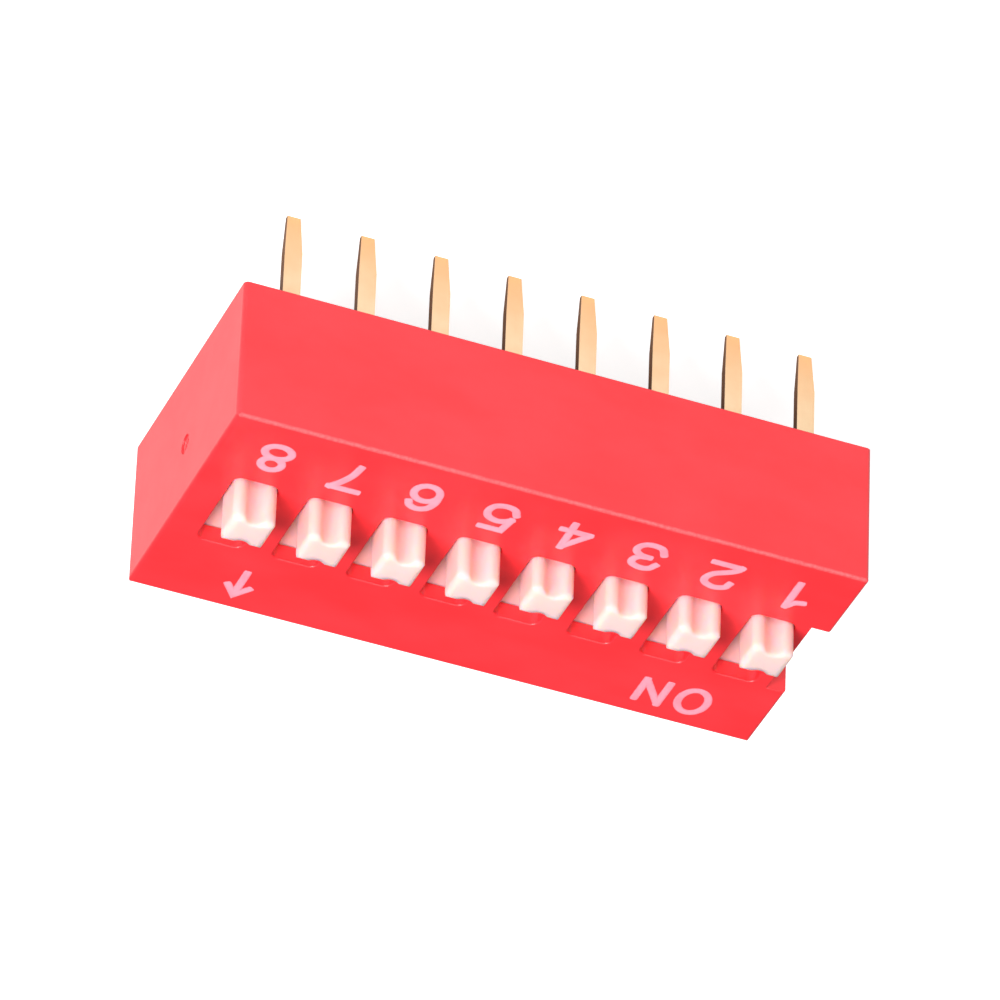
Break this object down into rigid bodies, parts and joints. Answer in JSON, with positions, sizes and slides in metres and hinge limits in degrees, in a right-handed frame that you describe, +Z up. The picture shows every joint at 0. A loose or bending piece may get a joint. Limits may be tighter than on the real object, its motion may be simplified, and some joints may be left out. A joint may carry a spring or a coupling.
{
  "type": "dip switch",
  "caption": "Through-hole slide DIP switch: a row of white slide knobs in a red moulded cover, each moving a gold spring wiper over two rows of gold terminals.",
  "frame": {"origin": "centre of the seat plane, where the cover's rim stands on a circuit board, midway between the two rows of legs", "axes": "+X along the row from switch 1 to switch 8, +Y across the row from the numbered side to the ON side, +Z up out of the board through the knobs; the legs reach down to -Z"},
  "size_m": [0.0216, 0.0098, 0.0106],
  "materials": {
    "cover_red": "moulded red PBT, satin gloss",
    "knob_white": "moulded white POM, satin",
    "base_black": "moulded black PBT",
    "epoxy": "poured amber epoxy, glossy",
    "gold_plate": "gold flash over copper alloy strip, satin"
  },
  "bodies": {
    "housing": {"cover": "cover_red", "base": "base_black", "potting": "epoxy", "terminal_front_1": "gold_plate", "terminal_front_2": "gold_plate", "terminal_front_3": "gold_plate", "terminal_front_4": "gold_plate", "terminal_front_5": "gold_plate", "terminal_front_6": "gold_plate", "terminal_front_7": "gold_plate", "terminal_front_8": "gold_plate", "terminal_rear_1": "gold_plate", "terminal_rear_2": "gold_plate", "terminal_rear_3": "gold_plate", "terminal_rear_4": "gold_plate", "terminal_rear_5": "gold_plate", "terminal_rear_6": "gold_plate", "terminal_rear_7": "gold_plate", "terminal_rear_8": "gold_plate"},
    "switch_1": {"actuator_1": "knob_white", "wiper_1": "gold_plate"},
    "switch_2": {"actuator_2": "knob_white", "wiper_2": "gold_plate"},
    "switch_3": {"actuator_3": "knob_white", "wiper_3": "gold_plate"},
    "switch_4": {"actuator_4": "knob_white", "wiper_4": "gold_plate"},
    "switch_5": {"actuator_5": "knob_white", "wiper_5": "gold_plate"},
    "switch_6": {"actuator_6": "knob_white", "wiper_6": "gold_plate"},
    "switch_7": {"actuator_7": "knob_white", "wiper_7": "gold_plate"},
    "switch_8": {"actuator_8": "knob_white", "wiper_8": "gold_plate"}
  },
  "joints": [
    {"name": "slide_1", "type": "slide", "parent": "housing", "child": "switch_1", "axis": [0, 1, 0], "range_m": [0, 0.0021]},
    {"name": "slide_2", "type": "slide", "parent": "housing", "child": "switch_2", "axis": [0, 1, 0], "range_m": [0, 0.0021]},
    {"name": "slide_3", "type": "slide", "parent": "housing", "child": "switch_3", "axis": [0, 1, 0], "range_m": [0, 0.0021]},
    {"name": "slide_4", "type": "slide", "parent": "housing", "child": "switch_4", "axis": [0, 1, 0], "range_m": [0, 0.0021]},
    {"name": "slide_5", "type": "slide", "parent": "housing", "child": "switch_5", "axis": [0, 1, 0], "range_m": [0, 0.0021]},
    {"name": "slide_6", "type": "slide", "parent": "housing", "child": "switch_6", "axis": [0, 1, 0], "range_m": [0, 0.0021]},
    {"name": "slide_7", "type": "slide", "parent": "housing", "child": "switch_7", "axis": [0, 1, 0], "range_m": [0, 0.0021]},
    {"name": "slide_8", "type": "slide", "parent": "housing", "child": "switch_8", "axis": [0, 1, 0], "range_m": [0, 0.0021]}
  ]
}
